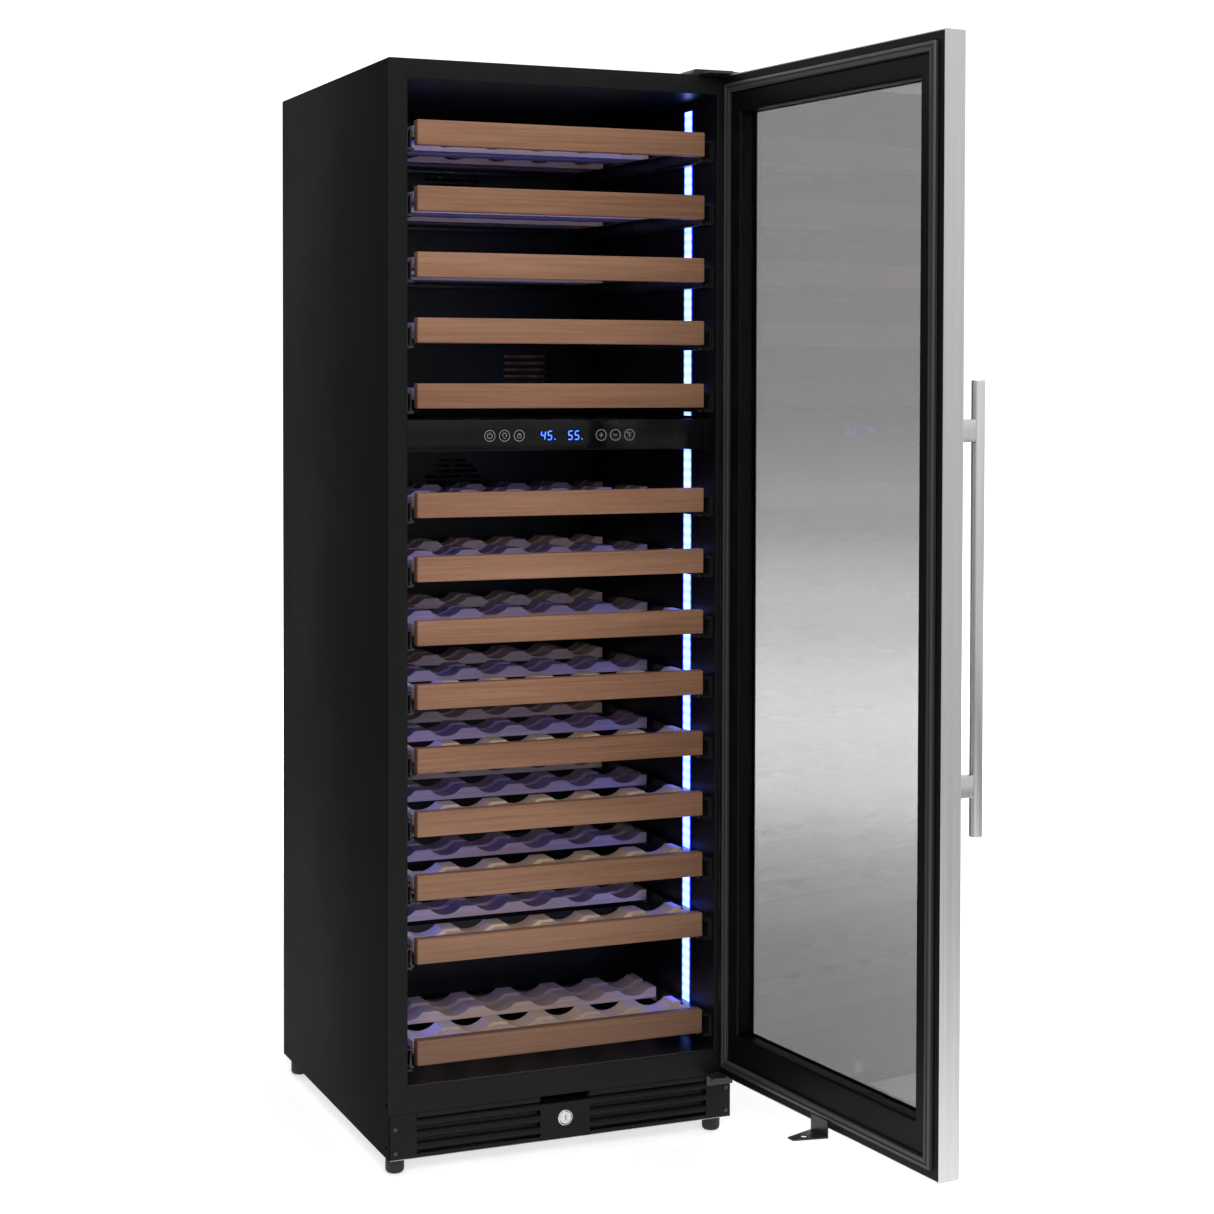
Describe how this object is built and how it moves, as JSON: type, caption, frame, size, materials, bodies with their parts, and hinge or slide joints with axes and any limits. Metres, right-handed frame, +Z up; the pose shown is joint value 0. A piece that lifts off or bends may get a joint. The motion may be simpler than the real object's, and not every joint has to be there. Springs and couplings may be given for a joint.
{
  "type": "wine cooler",
  "caption": "Tall built-in two-zone wine cooler with a black cabinet, sliding beech shelves, a touch panel and a glass door framed in stainless steel.",
  "frame": {"origin": "on the floor under the middle of the cabinet's footprint, without the door", "axes": "+Z up, -Y out of the front, +X towards the door's hinges"},
  "size_m": [0.7222, 1.2348, 1.7645],
  "materials": {
    "case_paint": "satin",
    "galvanised_steel": "satin",
    "frame_paint": "satin",
    "rigid_foam": "matte",
    "liner_plastic": "satin",
    "panel_gloss": "gloss",
    "light_diffuser": "gloss",
    "slide_steel": "satin",
    "tube_copper": "satin",
    "compressor_paint": "gloss",
    "inlet_plastic": "matte",
    "kick_paint": "satin",
    "foot_rubber": "matte",
    "black_steel": "satin",
    "trim_plastic": "satin",
    "screw_steel": "gloss",
    "stainless": "satin",
    "door_inner_plastic": "satin",
    "glazing": "gloss",
    "gasket_rubber": "matte",
    "handle_steel": "satin",
    "chrome_plate": "polished",
    "fan_plastic": "satin",
    "shelf_beech": "satin"
  },
  "bodies": {
    "cabinet": {"outer_case": "case_paint", "back_panel": "galvanised_steel", "rear_service_cover": "case_paint", "base_pan": "galvanised_steel", "face_frame": "frame_paint", "insulation_foam": "rigid_foam", "inner_liner": "liner_plastic", "zone_divider": "liner_plastic", "control_panel": "panel_gloss", "light_bars": "light_diffuser", "runner_channels": "slide_steel", "air_duct_covers": "liner_plastic", "refrigerant_circuit": "tube_copper", "compressor": "compressor_paint", "power_inlet": "inlet_plastic", "kick_grille": "kick_paint", "lock_housing": "kick_paint", "levelling_feet": "foot_rubber", "hinge_brackets": "black_steel", "top_hinge_cover": "trim_plastic", "screws": "screw_steel"},
    "door": {"door_frame": "stainless", "door_liner": "door_inner_plastic", "double_glazing": "glazing", "door_gasket": "gasket_rubber", "handle_bar": "handle_steel", "handle_posts": "handle_steel", "lock_striker": "black_steel"},
    "shelf_01": {"shelf_01": "shelf_beech"},
    "shelf_02": {"shelf_02": "shelf_beech"},
    "shelf_03": {"shelf_03": "shelf_beech"},
    "shelf_04": {"shelf_04": "shelf_beech"},
    "shelf_05": {"shelf_05": "shelf_beech"},
    "shelf_06": {"shelf_06": "shelf_beech"},
    "shelf_07": {"shelf_07": "shelf_beech"},
    "shelf_08": {"shelf_08": "shelf_beech"},
    "shelf_09": {"shelf_09": "shelf_beech"},
    "shelf_10": {"shelf_10": "shelf_beech"},
    "shelf_11": {"shelf_11": "shelf_beech"},
    "shelf_12": {"shelf_12": "shelf_beech"},
    "shelf_13": {"shelf_13": "shelf_beech"},
    "shelf_14": {"shelf_14": "shelf_beech"},
    "runner_01": {"runner_01": "slide_steel"},
    "runner_02": {"runner_02": "slide_steel"},
    "runner_03": {"runner_03": "slide_steel"},
    "runner_04": {"runner_04": "slide_steel"},
    "runner_05": {"runner_05": "slide_steel"},
    "runner_06": {"runner_06": "slide_steel"},
    "runner_07": {"runner_07": "slide_steel"},
    "runner_08": {"runner_08": "slide_steel"},
    "runner_09": {"runner_09": "slide_steel"},
    "runner_10": {"runner_10": "slide_steel"},
    "runner_11": {"runner_11": "slide_steel"},
    "runner_12": {"runner_12": "slide_steel"},
    "runner_13": {"runner_13": "slide_steel"},
    "lock_barrel": {"lock_barrel": "chrome_plate"},
    "lock_bolt": {"lock_bolt": "chrome_plate"},
    "upper_fan": {"upper_fan": "fan_plastic"},
    "lower_fan": {"lower_fan": "fan_plastic"},
    "condenser_fan": {"condenser_fan": "fan_plastic"}
  },
  "joints": [
    {"name": "door_hinge", "type": "hinge", "parent": "cabinet", "child": "door", "pos_m": [0.2855, -0.337, 0.93], "axis": [0, 0, 1], "range_deg": [-96, 14]},
    {"name": "shelf_01_slide", "type": "slide", "parent": "cabinet", "child": "shelf_01", "axis": [0, -1, 0], "range_m": [0, 0.52]},
    {"name": "shelf_02_slide", "type": "slide", "parent": "cabinet", "child": "shelf_02", "axis": [0, -1, 0], "range_m": [0, 0.52]},
    {"name": "shelf_03_slide", "type": "slide", "parent": "cabinet", "child": "shelf_03", "axis": [0, -1, 0], "range_m": [0, 0.52]},
    {"name": "shelf_04_slide", "type": "slide", "parent": "cabinet", "child": "shelf_04", "axis": [0, -1, 0], "range_m": [0, 0.52]},
    {"name": "shelf_05_slide", "type": "slide", "parent": "cabinet", "child": "shelf_05", "axis": [0, -1, 0], "range_m": [0, 0.52]},
    {"name": "shelf_06_slide", "type": "slide", "parent": "cabinet", "child": "shelf_06", "axis": [0, -1, 0], "range_m": [0, 0.52]},
    {"name": "shelf_07_slide", "type": "slide", "parent": "cabinet", "child": "shelf_07", "axis": [0, -1, 0], "range_m": [0, 0.52]},
    {"name": "shelf_08_slide", "type": "slide", "parent": "cabinet", "child": "shelf_08", "axis": [0, -1, 0], "range_m": [0, 0.52]},
    {"name": "shelf_09_slide", "type": "slide", "parent": "cabinet", "child": "shelf_09", "axis": [0, -1, 0], "range_m": [0, 0.52]},
    {"name": "shelf_10_slide", "type": "slide", "parent": "cabinet", "child": "shelf_10", "axis": [0, -1, 0], "range_m": [0, 0.52]},
    {"name": "shelf_11_slide", "type": "slide", "parent": "cabinet", "child": "shelf_11", "axis": [0, -1, 0], "range_m": [0, 0.52]},
    {"name": "shelf_12_slide", "type": "slide", "parent": "cabinet", "child": "shelf_12", "axis": [0, -1, 0], "range_m": [0, 0.52]},
    {"name": "shelf_13_slide", "type": "slide", "parent": "cabinet", "child": "shelf_13", "axis": [0, -1, 0], "range_m": [0, 0.52]},
    {"name": "shelf_14_slide", "type": "slide", "parent": "cabinet", "child": "shelf_14", "axis": [0, -1, 0], "range_m": [0, 0.2]},
    {"name": "runner_01_slide", "type": "slide", "parent": "cabinet", "child": "runner_01", "axis": [0, -1, 0], "range_m": [0, 0.26]},
    {"name": "runner_02_slide", "type": "slide", "parent": "cabinet", "child": "runner_02", "axis": [0, -1, 0], "range_m": [0, 0.26]},
    {"name": "runner_03_slide", "type": "slide", "parent": "cabinet", "child": "runner_03", "axis": [0, -1, 0], "range_m": [0, 0.26]},
    {"name": "runner_04_slide", "type": "slide", "parent": "cabinet", "child": "runner_04", "axis": [0, -1, 0], "range_m": [0, 0.26]},
    {"name": "runner_05_slide", "type": "slide", "parent": "cabinet", "child": "runner_05", "axis": [0, -1, 0], "range_m": [0, 0.26]},
    {"name": "runner_06_slide", "type": "slide", "parent": "cabinet", "child": "runner_06", "axis": [0, -1, 0], "range_m": [0, 0.26]},
    {"name": "runner_07_slide", "type": "slide", "parent": "cabinet", "child": "runner_07", "axis": [0, -1, 0], "range_m": [0, 0.26]},
    {"name": "runner_08_slide", "type": "slide", "parent": "cabinet", "child": "runner_08", "axis": [0, -1, 0], "range_m": [0, 0.26]},
    {"name": "runner_09_slide", "type": "slide", "parent": "cabinet", "child": "runner_09", "axis": [0, -1, 0], "range_m": [0, 0.26]},
    {"name": "runner_10_slide", "type": "slide", "parent": "cabinet", "child": "runner_10", "axis": [0, -1, 0], "range_m": [0, 0.26]},
    {"name": "runner_11_slide", "type": "slide", "parent": "cabinet", "child": "runner_11", "axis": [0, -1, 0], "range_m": [0, 0.26]},
    {"name": "runner_12_slide", "type": "slide", "parent": "cabinet", "child": "runner_12", "axis": [0, -1, 0], "range_m": [0, 0.26]},
    {"name": "runner_13_slide", "type": "slide", "parent": "cabinet", "child": "runner_13", "axis": [0, -1, 0], "range_m": [0, 0.26]},
    {"name": "lock_turn", "type": "hinge", "parent": "cabinet", "child": "lock_barrel", "pos_m": [0, -0.31, 0.063], "axis": [0, 1, 0], "range_deg": [0, 90]},
    {"name": "lock_bolt_lift", "type": "slide", "parent": "cabinet", "child": "lock_bolt", "axis": [0, 0, 1], "range_m": [0, 0.0121]},
    {"name": "upper_fan_spin", "type": "hinge", "parent": "cabinet", "child": "upper_fan", "pos_m": [0, 0.2535, 1.638], "axis": [0, 1, 0], "continuous": true},
    {"name": "lower_fan_spin", "type": "hinge", "parent": "cabinet", "child": "lower_fan", "pos_m": [0, 0.2535, 1.058], "axis": [0, 1, 0], "continuous": true},
    {"name": "condenser_fan_spin", "type": "hinge", "parent": "cabinet", "child": "condenser_fan", "pos_m": [-0.062, 0.195, 0.14], "axis": [1, 0, 0], "continuous": true}
  ],
  "couplings": [
    {"joint": "runner_01_slide", "follows": "shelf_01_slide", "ratio": 0.5},
    {"joint": "runner_02_slide", "follows": "shelf_02_slide", "ratio": 0.5},
    {"joint": "runner_03_slide", "follows": "shelf_03_slide", "ratio": 0.5},
    {"joint": "runner_04_slide", "follows": "shelf_04_slide", "ratio": 0.5},
    {"joint": "runner_05_slide", "follows": "shelf_05_slide", "ratio": 0.5},
    {"joint": "runner_06_slide", "follows": "shelf_06_slide", "ratio": 0.5},
    {"joint": "runner_07_slide", "follows": "shelf_07_slide", "ratio": 0.5},
    {"joint": "runner_08_slide", "follows": "shelf_08_slide", "ratio": 0.5},
    {"joint": "runner_09_slide", "follows": "shelf_09_slide", "ratio": 0.5},
    {"joint": "runner_10_slide", "follows": "shelf_10_slide", "ratio": 0.5},
    {"joint": "runner_11_slide", "follows": "shelf_11_slide", "ratio": 0.5},
    {"joint": "runner_12_slide", "follows": "shelf_12_slide", "ratio": 0.5},
    {"joint": "runner_13_slide", "follows": "shelf_13_slide", "ratio": 0.5},
    {"joint": "lock_bolt_lift", "follows": "lock_turn", "m_per_rad": 0.00764}
  ]
}
